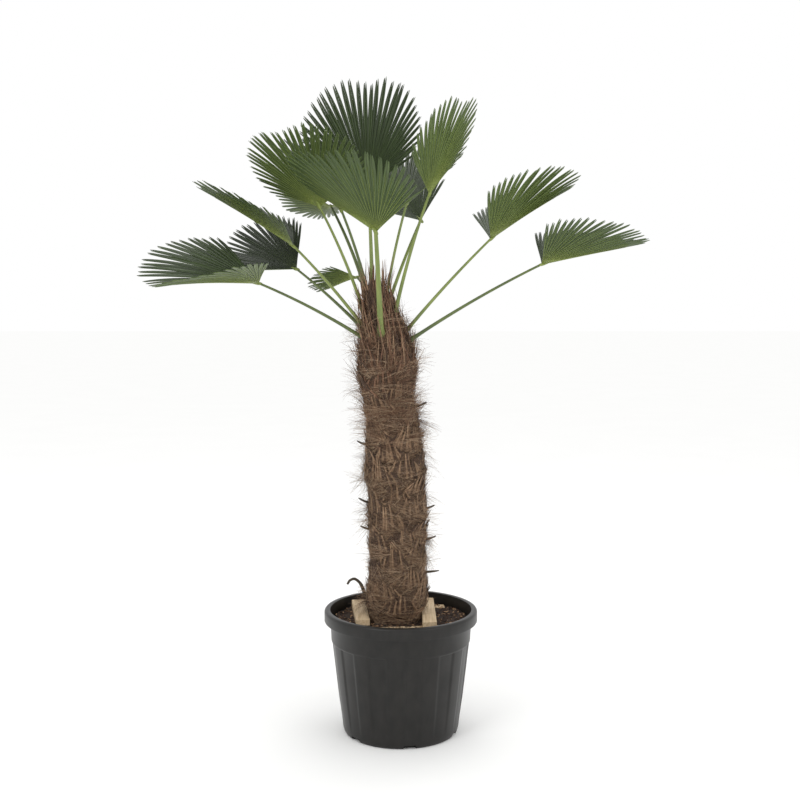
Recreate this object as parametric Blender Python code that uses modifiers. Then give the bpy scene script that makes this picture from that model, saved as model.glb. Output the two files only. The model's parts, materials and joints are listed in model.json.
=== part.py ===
"""A Wagner windmill palm growing in a black nursery pot.

Metres, +Z up. The origin is the middle of the pot's flat underside and the pot
stands on the XY plane. An azimuth is an angle seen from above: 0 points along
+X, 90 along +Y. The front of the plant faces -Y.
"""
import math
from dataclasses import dataclass

import bmesh
import bpy
import numpy as np
from mathutils import Matrix, Vector

NAME = "wagner_windmill_palm"

# Clearance between touching pieces
GAP = 0.0003

# Pot: a turned plastic shell with a collar at the rim and twelve flutes below it
POT_HEIGHT = 0.410
POT_STEPS = 60
RIM_RADIUS = 0.2525
COLLAR_HEIGHT = 0.039
NECK_RADIUS = 0.2325
BAND_BOTTOM = 0.305
FLUTE_TOP_RADIUS = 0.2270
FOOT_RADIUS = 0.190
WALL = 0.005
FLOOR = 0.006
FLUTES = 12
FLUTE_DEPTH = 0.0025
FLUTE_SPREAD = math.radians(15)
FLUTE_TURN = math.radians(10.5)
FLUTE_BOTTOM = 0.028
DRAINS = 6
DRAIN_WIDTH = 0.040
DRAIN_HEIGHT = 0.012
DRAIN_TURN = math.radians(9)

# Potting soil
SOIL_TOP = 0.375

# Battens that hold the root ball: two sunk in the soil and two lying on them
BATTEN_THICKNESS = 0.022
CROSS_BATTEN_TOP = 0.3785

# Trunk: height, radius and sideways place of the middle, at each change of form
TRUNK_RINGS = (
    (0.3753, 0.0830, -0.019),
    (0.4030, 0.0830, -0.019),
    (0.4150, 0.0910, -0.016),
    (0.4480, 0.0960, -0.014),
    (0.4920, 0.0930, -0.010),
    (0.5600, 0.0860, -0.012),
    (0.6000, 0.0860, -0.012),
    (0.6500, 0.0905, -0.011),
    (0.7000, 0.0880, -0.010),
    (0.7400, 0.0920, -0.010),
    (0.8050, 0.0860, -0.015),
    (0.8700, 0.0950, -0.017),
    (0.9100, 0.0900, -0.020),
    (0.9600, 0.0870, -0.023),
    (1.0000, 0.0820, -0.024),
    (1.0450, 0.0780, -0.029),
    (1.0860, 0.0750, -0.035),
    (1.1300, 0.0800, -0.042),
    (1.1650, 0.0845, -0.045),
    (1.2050, 0.0900, -0.044),
    (1.2620, 0.0820, -0.047),
    (1.3100, 0.0690, -0.052),
    (1.3600, 0.0560, -0.061),
    (1.4200, 0.0400, -0.073),
    (1.4600, 0.0260, -0.080),
    (1.4900, 0.0090, -0.086),
)
TRUNK_SIDES = 24
SPIRALS = 5
SPIRAL_DEPTH = 0.025
SPIRAL_TWIST = 26.0

# Fronds
LEAF_THICKNESS = 0.004
SEGMENT_PITCH = 4.2
PLEAT = 0.20
SPLIT = 0.56
BASAL_LENGTH = 0.62
LENGTH_POWER = 2.2
FOLD_WIDTH = 14.0
NOTCH_WIDTH = 9.0
PETIOLE_POINTS = 9
TURN_STEP = 0.5


@dataclass(frozen=True)
class Petiole:
    """A leaf stalk that arcs up and out from the trunk in one upright plane.

    Angles are in degrees: the azimuth, and the rise at the foot and at the hub.
    """
    azimuth: float
    foot_height: float
    length: float
    rise_foot: float
    rise_hub: float
    foot_radius: float = 0.0080
    hub_radius: float = 0.0045


@dataclass(frozen=True)
class Blade:
    """A pleated fan. Angles are in degrees.

    The middle rib points along aim and tilt. roll turns the fan round that rib
    and lean turns it within its own plane. spread is the reach of each half,
    fold the crease along the middle rib, cup the even curl of each half, and
    notch how much shorter the middle segments are.
    """
    aim: float
    tilt: float
    roll: float
    radius: float
    spread: float = 75
    fold: float = 10
    cup: float = 25
    droop: float = 6
    lean: float = 0
    notch: float = 0.08


FRONDS = {
    "top": (
        Petiole(113, 1.460, 0.335, 88, 80),
        Blade(74, 97, -3, 0.364, spread=66, fold=9, cup=33, droop=3, lean=-2),
    ),
    "front": (
        Petiole(-97, 1.325, 0.330, 74, 68, foot_radius=0.0105, hub_radius=0.0060),
        Blade(-123, 41, -4, 0.385, spread=63, fold=6, cup=24, droop=11, lean=-2),
    ),
    "left_upper": (
        Petiole(174, 1.395, 0.361, 72, 62),
        Blade(-136, 51, 18, 0.322, spread=73, fold=11, cup=12, droop=11, lean=6),
    ),
    "left_flat": (
        Petiole(-170, 1.345, 0.335, 53, 45),
        Blade(180, 34, 0, 0.385, fold=6, cup=16, droop=5),
    ),
    "left_middle": (
        Petiole(161, 1.330, 0.310, 44, 36),
        Blade(157, 20, -30, 0.302, spread=72, fold=16, cup=17, droop=4, lean=7),
    ),
    "left_low": (
        Petiole(-159, 1.305, 0.386, 32, 22),
        Blade(-150, 3, -12, 0.385, spread=76, fold=18, cup=22, droop=12),
    ),
    "left_small": (
        Petiole(112, 1.400, 0.197, 46, 18, foot_radius=0.0060),
        Blade(165, -14, 14, 0.175, spread=58, droop=8),
    ),
    "back_left": (
        Petiole(127, 1.415, 0.400, 63.5, 47.5),
        Blade(110, -5, 6, 0.290, spread=66, fold=20, cup=22, droop=3),
    ),
    "left_inner": (
        Petiole(142, 1.450, 0.293, 72.5, 62.5, foot_radius=0.0070),
        Blade(125, 55, 0, 0.335, spread=66, cup=20, droop=8),
    ),
    "back": (
        Petiole(32, 1.445, 0.307, 79.5, 71.5, foot_radius=0.0060),
        Blade(62, 46, 0, 0.300, spread=60, fold=15, cup=20, droop=8),
    ),
    "right_inner": (
        Petiole(62, 1.400, 0.384, 55, 47, foot_radius=0.0070),
        Blade(115, 50, 0, 0.320, spread=68, fold=8, cup=20, droop=8, lean=27),
    ),
    "right_upper": (
        Petiole(-27.5, 1.390, 0.389, 76, 68),
        Blade(-28, 67, 0, 0.338, spread=54, fold=5, cup=10, droop=9, lean=-5),
    ),
    "right_middle": (
        Petiole(8, 1.325, 0.410, 50, 44),
        Blade(2, 36, -5, 0.364, spread=82, fold=15, cup=35, droop=10, lean=6, notch=0.12),
    ),
    "right_low": (
        Petiole(0, 1.295, 0.495, 34, 26),
        Blade(0, 13, -2, 0.352, spread=88, fold=12, cup=34, droop=4, notch=0.0),
    ),
}

# Old leaf stubs: azimuth, height, reach and rise
STUBS = (
    (178, 0.955, 0.030, 0.012),
    (186, 0.765, 0.034, 0.016),
    (172, 0.672, 0.032, 0.010),
    (-4, 1.080, 0.040, 0.016),
    (8, 0.742, 0.028, 0.010),
    (-6, 0.643, 0.034, 0.012),
    (4, 0.530, 0.046, 0.004),
)
STUB_FOOT_RADIUS = 0.0085
STUB_TIP_RADIUS = 0.0040

# The hooked old stalk at the trunk's foot: reach out and height over its own foot
HOOK_AZIMUTH = 180
HOOK_HEIGHT = 0.440
HOOK_ROUTE = ((0.000, 0.000), (0.006, 0.030), (0.018, 0.056), (0.036, 0.070), (0.052, 0.064), (0.060, 0.050))
HOOK_RADIUS = 0.0062


@dataclass(frozen=True)
class Paint:
    """A surface: its linear colour and roughness."""
    red: float
    green: float
    blue: float
    roughness: float


PAINTS = {
    "pot_plastic": Paint(0.024, 0.022, 0.019, 0.55),
    "soil": Paint(0.030, 0.018, 0.011, 0.95),
    "batten_wood": Paint(0.520, 0.390, 0.250, 0.80),
    "trunk_fibre": Paint(0.140, 0.080, 0.048, 0.95),
    "old_stalk": Paint(0.060, 0.042, 0.026, 0.85),
    "petiole": Paint(0.210, 0.280, 0.070, 0.55),
    "leaf": Paint(0.060, 0.110, 0.030, 0.50),
}


def clear_scene():
    """Remove every object of the starting scene."""
    for item in list(bpy.data.objects):
        bpy.data.objects.remove(item, do_unlink=True)


def make_material(name):
    """Make the Principled material of one surface."""
    paint = PAINTS[name]
    material = bpy.data.materials.new(name)
    material.use_nodes = True
    shader = material.node_tree.nodes["Principled BSDF"]
    shader.inputs["Base Color"].default_value = (paint.red, paint.green, paint.blue, 1.0)
    shader.inputs["Roughness"].default_value = paint.roughness
    shader.inputs["Metallic"].default_value = 0.0
    return material


def add_mesh(name, bm, collection, material=None, smooth=False):
    """Turn a bmesh into a named object of the collection."""
    mesh = bpy.data.meshes.new(name)
    bm.to_mesh(mesh)
    bm.free()
    item = bpy.data.objects.new(name, mesh)
    collection.objects.link(item)
    if material is not None:
        mesh.materials.append(material)
    if smooth:
        mesh.shade_smooth()
        mesh.set_sharp_from_angle(angle=math.radians(35))
    return item


def mark_cutter(item):
    """Keep a cutter out of renders and draw it as wire."""
    item.hide_render = True
    item.display_type = "WIRE"


def heading(azimuth):
    """Level unit vector along an azimuth in degrees."""
    angle = math.radians(azimuth)
    return np.array([math.cos(angle), math.sin(angle), 0.0])


def turned(vector, axis, degrees):
    """Turn a vector about a unit axis."""
    angle = math.radians(degrees)
    along = axis * np.dot(axis, vector)
    return vector * math.cos(angle) + np.cross(axis, vector) * math.sin(angle) + along * (1 - math.cos(angle))


def trunk_at(height):
    """Radius and middle of the trunk at a height."""
    heights = [ring[0] for ring in TRUNK_RINGS]
    radius = float(np.interp(height, heights, [ring[1] for ring in TRUNK_RINGS]))
    across = float(np.interp(height, heights, [ring[2] for ring in TRUNK_RINGS]))
    return radius, np.array([across, 0.0, height])


def pot_profile():
    """The pot's section as (radius, height), down the outside and up the inside."""
    collar_bottom = POT_HEIGHT - COLLAR_HEIGHT
    outside = [
        (RIM_RADIUS - 0.0190, POT_HEIGHT),
        (RIM_RADIUS - 0.0060, POT_HEIGHT),
        (RIM_RADIUS - 0.0015, POT_HEIGHT - 0.003),
        (RIM_RADIUS, POT_HEIGHT - 0.008),
        (RIM_RADIUS, collar_bottom),
        (NECK_RADIUS + 0.0080, collar_bottom),
        (NECK_RADIUS, collar_bottom - 0.004),
        (FLUTE_TOP_RADIUS + 0.0025, BAND_BOTTOM + 0.006),
        (FLUTE_TOP_RADIUS, BAND_BOTTOM),
        (FOOT_RADIUS + 0.0030, 0.022),
        (FOOT_RADIUS, 0.008),
        (FOOT_RADIUS - 0.0060, 0.0),
        (0.0, 0.0),
    ]
    inside = [
        (0.0, FLOOR),
        (FOOT_RADIUS - 0.0060 - WALL, FLOOR),
        (FOOT_RADIUS + 0.0030 - WALL, 0.022),
        (FLUTE_TOP_RADIUS - WALL, BAND_BOTTOM),
        (NECK_RADIUS - WALL, collar_bottom - 0.004),
        (RIM_RADIUS - 0.0190, POT_HEIGHT - 0.006),
    ]
    return outside + inside


def screw(name, profile, steps, closed, collection, material):
    """Turn a profile about the Z axis."""
    bm = bmesh.new()
    verts = [bm.verts.new((radius, 0.0, height)) for radius, height in profile]
    for first, second in zip(verts, verts[1:]):
        bm.edges.new((first, second))
    if closed:
        bm.edges.new((verts[-1], verts[0]))
    item = add_mesh(name, bm, collection, material)
    turn = item.modifiers.new("Turn", "SCREW")
    turn.axis = "Z"
    turn.angle = math.tau
    turn.steps = steps
    turn.render_steps = steps
    turn.use_merge_vertices = True
    turn.merge_threshold = 0.0001
    turn.use_normal_calculate = False
    turn.use_smooth_shade = False
    return item


def wedge_cutter(bm, section, start, spread, steps):
    """Add a closed solid swept about Z from a section of (radius, height) points."""
    verts = [bm.verts.new((radius * math.cos(start), radius * math.sin(start), height)) for radius, height in section]
    face = bm.faces.new(verts)
    edges = list(face.edges)
    bmesh.ops.spin(
        bm,
        geom=verts + edges + [face],
        cent=(0.0, 0.0, 0.0),
        axis=(0.0, 0.0, 1.0),
        angle=spread,
        steps=steps,
        use_duplicate=False,
    )


def make_pot_cutters(collection):
    """One cutter object with the flutes' recesses and the drain notches."""
    bm = bmesh.new()
    top = BAND_BOTTOM - 0.002
    slope = (FLUTE_TOP_RADIUS - FOOT_RADIUS - 0.0030) / (BAND_BOTTOM - 0.022)
    bottom_radius = FLUTE_TOP_RADIUS - slope * (BAND_BOTTOM - FLUTE_BOTTOM)
    section = (
        (FLUTE_TOP_RADIUS - FLUTE_DEPTH, top),
        (bottom_radius - FLUTE_DEPTH, FLUTE_BOTTOM),
        (bottom_radius + 0.020, FLUTE_BOTTOM),
        (FLUTE_TOP_RADIUS + 0.020, top),
    )
    for index in range(FLUTES):
        middle = -math.pi / 2 + FLUTE_TURN + math.tau * index / FLUTES
        wedge_cutter(bm, section, middle - FLUTE_SPREAD / 2, FLUTE_SPREAD, 3)
    for index in range(DRAINS):
        angle = -math.pi / 2 + DRAIN_TURN + math.tau * index / DRAINS
        place = Matrix.Rotation(angle, 4, "Z") @ Matrix.Translation((FOOT_RADIUS, 0.0, 0.0))
        size = Matrix.Diagonal((0.034, DRAIN_WIDTH, 2 * DRAIN_HEIGHT, 1.0))
        bmesh.ops.create_cube(bm, size=1.0, matrix=place @ size)
    bmesh.ops.recalc_face_normals(bm, faces=bm.faces[:])
    cutter = add_mesh("pot_cutter", bm, collection)
    mark_cutter(cutter)
    return cutter


def make_pot(collection, cutters, material):
    """The pot: a turned shell, fluted and notched."""
    pot = screw("pot", pot_profile(), POT_STEPS, True, collection, material)
    cut = pot.modifiers.new("Flutes and drains", "BOOLEAN")
    cut.operation = "DIFFERENCE"
    cut.solver = "EXACT"
    cut.object = make_pot_cutters(cutters)
    return pot


def batten_box(name, centre, length, width, top, turn, collection, material, grow=0.0):
    """A sawn batten, level, turned about Z from lying along +X."""
    bm = bmesh.new()
    size = Matrix.Diagonal((length + 2 * grow, width + 2 * grow, BATTEN_THICKNESS + 2 * grow, 1.0))
    bmesh.ops.create_cube(bm, size=1.0, matrix=size)
    item = add_mesh(name, bm, collection, material)
    item.location = (centre[0], centre[1], top - BATTEN_THICKNESS / 2)
    item.rotation_euler = (0.0, 0.0, math.radians(turn))
    return item


# Each batten: middle, length, width, height of its top and turn in degrees
CROSS_BATTENS = {
    "batten_front": ((0.020, -0.125), 0.300, 0.040, CROSS_BATTEN_TOP, 7),
    "batten_back": ((0.010, 0.135), 0.280, 0.040, CROSS_BATTEN_TOP, 4),
}
UPPER_BATTENS = {
    "batten_left": ((-0.134, 0.020), 0.250, 0.045, CROSS_BATTEN_TOP + GAP + BATTEN_THICKNESS, 95.5),
    "batten_right": ((0.0915, 0.018), 0.302, 0.045, CROSS_BATTEN_TOP + GAP + BATTEN_THICKNESS, 90.5),
}


def make_battens(collection, material):
    """The four sawn battens."""
    for name, values in {**CROSS_BATTENS, **UPPER_BATTENS}.items():
        batten = batten_box(name, *values, collection, material)
        edge = batten.modifiers.new("Edges", "BEVEL")
        edge.width = 0.0015
        edge.segments = 1


def make_soil(collection, cutters, material):
    """The soil: fills the pot clear of its wall, with a bed for each sunk batten."""
    inner = NECK_RADIUS - WALL - GAP
    slope = (NECK_RADIUS - FLUTE_TOP_RADIUS) / (POT_HEIGHT - COLLAR_HEIGHT - 0.004 - BAND_BOTTOM)
    shrink = 0.0012
    profile = [
        (0.0, SOIL_TOP),
        (inner - 0.020, SOIL_TOP),
        (inner + slope * 0.010 - shrink, SOIL_TOP - 0.006),
        (FLUTE_TOP_RADIUS - WALL - shrink, BAND_BOTTOM),
        (FOOT_RADIUS + 0.0030 - WALL - shrink, 0.022),
        (FOOT_RADIUS - 0.0060 - WALL - shrink, FLOOR + GAP),
        (0.0, FLOOR + GAP),
    ]
    soil = screw("soil", profile, POT_STEPS, False, collection, material)
    for name, values in CROSS_BATTENS.items():
        centre, length, width, top, turn = values
        cutter = batten_box(f"{name}_bed", centre, length, width, top, turn, cutters, None, grow=GAP)
        mark_cutter(cutter)
        bed = soil.modifiers.new(f"Bed of {name}", "BOOLEAN")
        bed.operation = "DIFFERENCE"
        bed.solver = "EXACT"
        bed.object = cutter
    return soil


def make_trunk(collection, material):
    """The trunk: rings of changing radius on a leaning line, lobed by spiral leaf bases."""
    bm = bmesh.new()
    rings = []
    for height, radius, across in TRUNK_RINGS:
        ring = []
        for side in range(TRUNK_SIDES):
            angle = math.tau * side / TRUNK_SIDES
            lobe = 1.0 - SPIRAL_DEPTH * (0.5 - 0.5 * math.cos(SPIRALS * angle - SPIRAL_TWIST * height))
            reach = radius * lobe
            ring.append(bm.verts.new((across + reach * math.cos(angle), reach * math.sin(angle), height)))
        rings.append(ring)
    for lower, upper in zip(rings, rings[1:]):
        for side in range(TRUNK_SIDES):
            after = (side + 1) % TRUNK_SIDES
            bm.faces.new((lower[side], lower[after], upper[after], upper[side]))
    bm.faces.new(list(reversed(rings[0])))
    bm.faces.new(rings[-1])
    return add_mesh("trunk", bm, collection, material, smooth=True)


def make_tube(name, points, radii, collection, material):
    """A round limb through the points, with a radius at each."""
    curve = bpy.data.curves.new(name, "CURVE")
    curve.dimensions = "3D"
    curve.bevel_depth = 1.0
    curve.bevel_resolution = 2
    curve.use_fill_caps = True
    spline = curve.splines.new("POLY")
    spline.points.add(len(points) - 1)
    for point, place, radius in zip(spline.points, points, radii):
        point.co = (*place, 1.0)
        point.radius = radius
    curve.materials.append(material)
    item = bpy.data.objects.new(name, curve)
    collection.objects.link(item)
    return item


def petiole_path(petiole):
    """Points along a petiole, from its foot beside the trunk to the fan's hub."""
    out = heading(petiole.azimuth)
    trunk_radius, middle = trunk_at(petiole.foot_height)
    stand_off = petiole.foot_radius * math.sin(math.radians(petiole.rise_foot)) + 2 * GAP
    place = middle + out * (trunk_radius + stand_off)
    points = [place]
    step = petiole.length / (PETIOLE_POINTS - 1)
    for index in range(PETIOLE_POINTS - 1):
        share = (index + 0.5) / (PETIOLE_POINTS - 1)
        rise = math.radians(petiole.rise_foot + (petiole.rise_hub - petiole.rise_foot) * share)
        place = place + (out * math.cos(rise) + np.array([0.0, 0.0, math.sin(rise)])) * step
        points.append(place)
    return points


def blade_frame(blade):
    """Middle rib direction, side direction and upper normal of a fan."""
    tilt = math.radians(blade.tilt)
    out = heading(blade.aim)
    rib = out * math.cos(tilt) + np.array([0.0, 0.0, math.sin(tilt)])
    normal = -out * math.sin(tilt) + np.array([0.0, 0.0, math.cos(tilt)])
    normal = turned(normal, rib, blade.roll)
    side = np.cross(normal, rib)
    return turned(rib, normal, blade.lean), turned(side, normal, blade.lean), normal


def ray_frames(blade, sign, angles):
    """Direction and normal of the fan's surface at rising angles on one side of the rib."""
    ray, side, normal = blade_frame(blade)
    side = side * sign
    frames = []
    reached = 0.0
    for angle in angles:
        steps = max(1, int(round((angle - reached) / TURN_STEP)))
        for index in range(steps):
            step = (angle - reached) / steps
            middle = reached + (index + 0.5) * step
            crease = blade.fold * math.exp(-(middle / FOLD_WIDTH) ** 2) / (FOLD_WIDTH * math.sqrt(math.pi) / 2)
            bend = math.radians((crease + blade.cup / blade.spread) * step)
            turn = math.radians(step)
            ray, side = ray * math.cos(turn) + side * math.sin(turn), side * math.cos(turn) - ray * math.sin(turn)
            side, normal = side * math.cos(bend) + normal * math.sin(bend), normal * math.cos(bend) - side * math.sin(bend)
        reached = angle
        frames.append((ray, normal))
    return frames


def segment_length(blade, angle):
    """Length of the segment at an angle from the middle rib."""
    share = min(1.0, abs(angle) / blade.spread)
    body = 1.0 - (1.0 - BASAL_LENGTH) * share ** LENGTH_POWER
    return blade.radius * body * (1.0 - blade.notch * math.exp(-(angle / NOTCH_WIDTH) ** 2))


def fan_point(hub, ray, normal, reach, length, droop):
    """Point at a reach along a segment that droops towards its tip."""
    angle = math.radians(droop) * (reach / length) ** 2 / 3
    return hub + (ray * math.cos(angle) - normal * math.sin(angle)) * reach


def fan_rays(blade):
    """Angle, direction and normal of every ridge and valley line, from one margin to the other."""
    half = max(4, int(round(blade.spread / SEGMENT_PITCH)))
    pitch = blade.spread / half
    angles = [pitch * index / 2 for index in range(0, 2 * half + 1)]
    right = ray_frames(blade, -1.0, angles)
    left = ray_frames(blade, 1.0, angles)
    rays = [(-angle, *frame) for angle, frame in zip(angles, right)][:0:-1]
    rays += [(angle, *frame) for angle, frame in zip(angles, left)]
    return rays


def make_fan(name, hub, blade, collection, material):
    """A fan: pleated segments joined to their split and cut apart beyond it."""
    bm = bmesh.new()
    rays = fan_rays(blade)
    centre = bm.verts.new(hub)
    ring = []
    for index, (angle, ray, normal) in enumerate(rays):
        length = segment_length(blade, angle)
        reach = SPLIT * length
        place = fan_point(hub, ray, normal, reach, length, blade.droop)
        if index % 2:
            place = place - normal * PLEAT * reach * math.radians(SEGMENT_PITCH)
        ring.append(bm.verts.new(place))
    for index in range(0, len(rays) - 2, 2):
        left, middle, right = ring[index:index + 3]
        angle, ray, normal = rays[index + 1]
        length = segment_length(blade, angle)
        tip = bm.verts.new(fan_point(hub, ray, normal, length, length, blade.droop))
        bm.faces.new((centre, left, middle))
        bm.faces.new((centre, middle, right))
        bm.faces.new((left, tip, middle))
        bm.faces.new((middle, tip, right))
    item = add_mesh(name, bm, collection, material)
    shell = item.modifiers.new("Thickness", "SOLIDIFY")
    shell.thickness = LEAF_THICKNESS
    shell.offset = 0.0
    return item


def hub_gap(blade, petiole, along):
    """How far short of the hub a petiole ends, to clear the fan by the gap."""
    gap = 0.0
    for angle, ray, normal in fan_rays(blade):
        forward = float(np.dot(ray, along))
        across = math.sqrt(max(1e-6, 1.0 - forward ** 2))
        back = max(0.0, -forward / across) * petiole.hub_radius
        lift = abs(float(np.dot(normal, along))) * LEAF_THICKNESS / 2
        gap = max(gap, back + lift)
    return gap + GAP


def make_frond(name, petiole, blade, collection, materials):
    """One frond: its petiole and its fan, 0.3 mm apart."""
    points = petiole_path(petiole)
    hub = points[-1]
    along = hub - points[-2]
    along = along / np.linalg.norm(along)
    make_fan(f"fan_{name}", hub, blade, collection, materials["leaf"])
    points[-1] = hub - along * hub_gap(blade, petiole, along)
    shares = [index / (PETIOLE_POINTS - 1) for index in range(PETIOLE_POINTS)]
    radii = [petiole.foot_radius + (petiole.hub_radius - petiole.foot_radius) * share ** 0.7 for share in shares]
    make_tube(f"petiole_{name}", points, radii, collection, materials["petiole"])


def make_stubs(collection, material):
    """The cut stubs of old fronds and the hooked stalk at the trunk's foot."""
    for index, (azimuth, height, reach, rise) in enumerate(STUBS, start=1):
        out = heading(azimuth)
        trunk_radius, middle = trunk_at(height)
        foot = middle + out * (trunk_radius + 2 * GAP + STUB_FOOT_RADIUS * rise / reach)
        points = [foot + out * reach * share + np.array([0.0, 0.0, rise * share ** 1.6]) for share in (0.0, 0.5, 1.0)]
        radii = [STUB_FOOT_RADIUS, 0.8 * STUB_FOOT_RADIUS, STUB_TIP_RADIUS]
        make_tube(f"stub_{index:02d}", points, radii, collection, material)
    out = heading(HOOK_AZIMUTH)
    trunk_radius, middle = trunk_at(HOOK_HEIGHT)
    foot = middle + out * (trunk_radius + HOOK_RADIUS + 4 * GAP)
    points = [foot + out * reach + np.array([0.0, 0.0, height]) for reach, height in HOOK_ROUTE]
    radii = [HOOK_RADIUS * (1.0 - 0.45 * index / (len(points) - 1)) for index in range(len(points))]
    make_tube("stub_hook", points, radii, collection, material)


def main():
    """Build the whole plant."""
    clear_scene()
    parts = bpy.data.collections.new(NAME)
    cutters = bpy.data.collections.new("cutters")
    bpy.context.scene.collection.children.link(parts)
    bpy.context.scene.collection.children.link(cutters)
    materials = {name: make_material(name) for name in PAINTS}
    make_pot(parts, cutters, materials["pot_plastic"])
    make_soil(parts, cutters, materials["soil"])
    make_battens(parts, materials["batten_wood"])
    make_trunk(parts, materials["trunk_fibre"])
    make_stubs(parts, materials["old_stalk"])
    for name, (petiole, blade) in FRONDS.items():
        make_frond(name, petiole, blade, parts, materials)
    bpy.context.view_layer.update()


main()
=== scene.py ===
"""Looks of a windmill palm that stands in a black nursery pot.

Metres, +Z up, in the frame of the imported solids. The origin is the middle of
the pot's underside, and the front of the plant faces -Y. Angles that a field
holds are in degrees.
"""
import json
import logging
import math
from collections.abc import Sequence
from dataclasses import dataclass, field
from enum import Enum

import bmesh
import bpy
import numpy as np
from mathutils import Matrix

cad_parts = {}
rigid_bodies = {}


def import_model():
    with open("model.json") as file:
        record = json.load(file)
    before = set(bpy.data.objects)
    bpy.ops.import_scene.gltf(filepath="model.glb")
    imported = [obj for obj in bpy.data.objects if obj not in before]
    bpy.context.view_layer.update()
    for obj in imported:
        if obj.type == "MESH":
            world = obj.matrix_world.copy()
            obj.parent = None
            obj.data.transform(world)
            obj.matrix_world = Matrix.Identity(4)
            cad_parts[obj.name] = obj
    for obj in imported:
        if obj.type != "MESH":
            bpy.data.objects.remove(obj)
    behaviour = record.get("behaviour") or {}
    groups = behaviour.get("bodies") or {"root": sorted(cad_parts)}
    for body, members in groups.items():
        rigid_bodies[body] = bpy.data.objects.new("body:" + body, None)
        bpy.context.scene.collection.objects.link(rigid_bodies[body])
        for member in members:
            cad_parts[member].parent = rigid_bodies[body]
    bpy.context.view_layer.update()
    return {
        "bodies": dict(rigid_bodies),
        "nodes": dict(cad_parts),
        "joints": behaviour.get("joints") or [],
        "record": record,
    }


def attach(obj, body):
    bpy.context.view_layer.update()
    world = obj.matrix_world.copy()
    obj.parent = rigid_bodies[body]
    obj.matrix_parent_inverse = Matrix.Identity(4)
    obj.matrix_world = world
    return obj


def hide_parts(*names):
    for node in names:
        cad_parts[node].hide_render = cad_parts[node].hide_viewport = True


LOG = logging.getLogger("palm")
SEED = 4711
BODY = "root"
MM_PER_METRE = 1000.0
UP = np.array([0.0, 0.0, 1.0])
SOIL_TOP = 0.375

Array = np.ndarray
Colour = tuple[float, float, float, float]
Triple = tuple[float, float, float]


def srgb(code: str) -> Colour:
    """Turn a hex colour into linear RGBA.

    Args:
        code: The colour as "#rrggbb".

    Returns:
        Four linear values.
    """
    values = [int(code[start:start + 2], 16) / 255 for start in (1, 3, 5)]
    red, green, blue = [
        value / 12.92 if value <= 0.04045 else ((value + 0.055) / 1.055) ** 2.4 for value in values
    ]
    return (red, green, blue, 1.0)


def heading(azimuth: float) -> Array:
    """Find a level direction.

    Args:
        azimuth: Degrees from +X towards +Y.

    Returns:
        The unit vector.
    """
    angle = math.radians(azimuth)
    return np.array([math.cos(angle), math.sin(angle), 0.0])


def turned(vector: Array, axis: Array, degrees: float) -> Array:
    """Turn a vector about an axis.

    Args:
        vector: The vector to turn.
        axis: The unit axis.
        degrees: The angle.

    Returns:
        The turned vector.
    """
    angle = math.radians(degrees)
    along = axis * np.dot(axis, vector)
    return vector * math.cos(angle) + np.cross(axis, vector) * math.sin(angle) + along * (1 - math.cos(angle))


def swung(first: Array, second: Array, angle: float) -> tuple[Array, Array]:
    """Swing two square vectors in their own plane.

    Args:
        first: The vector that swings towards the second.
        second: The vector square to it.
        angle: The angle in radians.

    Returns:
        Both vectors after the swing.
    """
    cosine, sine = math.cos(angle), math.sin(angle)
    return first * cosine + second * sine, second * cosine - first * sine


def unit(vectors: Array) -> Array:
    """Scale vectors in the last dimension to length one."""
    return vectors / np.maximum(np.linalg.norm(vectors, axis=-1, keepdims=True), 1e-9)


def level(angles: Array) -> Array:
    """Return level unit vectors at angles in radians."""
    return np.stack([np.cos(angles), np.sin(angles), 0 * angles], -1)


class Stuff(Enum):
    """The materials of the plant, its pot and the studio; the darker copies of the leaf's upper side and the
    stalk are painted shade, and the paler copy of the underside is painted light.
    """
    LEAF_UPPER = "leaf_upper_side"
    # Darker copy of the upper side: painted shade
    LEAF_UPPER_PAINTED_SHADE = "leaf_upper_side_deep"
    LEAF_UNDER = "leaf_underside"
    # Paler copy of the underside: painted light
    LEAF_UNDER_PAINTED_LIGHT = "leaf_underside_pale"
    LEAF_RIB = "leaf_rib"
    STALK = "leaf_stalk"
    # Darker copy of the stalk: painted shade
    STALK_DEEP = "leaf_stalk_deep"
    BARK = "trunk_bark"
    FIBRE_DARK = "sheath_fibre_dark"
    FIBRE_MID = "sheath_fibre_brown"
    FIBRE_RED = "sheath_fibre_red"
    FIBRE_PALE = "sheath_fibre_pale"
    OLD_STALK = "old_dry_stalk"
    POT = "pot_polyethylene"
    PEAT = "potting_peat"
    CHIP = "bark_chip"
    CHIP_PALE = "bark_chip_pale"
    PINE = "sawn_pine"
    FLOOR = "studio_floor"


class Guide(Enum):
    """What a pattern follows."""
    PIECE = "Object"
    SURFACE = "UV"


def add_node(
    tree: bpy.types.NodeTree,
    kind: str,
    settings: dict[str, float | Triple],
    links: dict[str, bpy.types.NodeSocket],
) -> bpy.types.Node:
    """Add a node with its settings and links.

    Args:
        tree: The tree that the node joins.
        kind: The node's type.
        settings: Values by input name.
        links: Sockets to link from, by input name.

    Returns:
        The new node.
    """
    node = tree.nodes.new(kind)
    for name, value in settings.items():
        node.inputs[name].default_value = value
    for name, source in links.items():
        tree.links.new(source, node.inputs[name])
    return node


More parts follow.
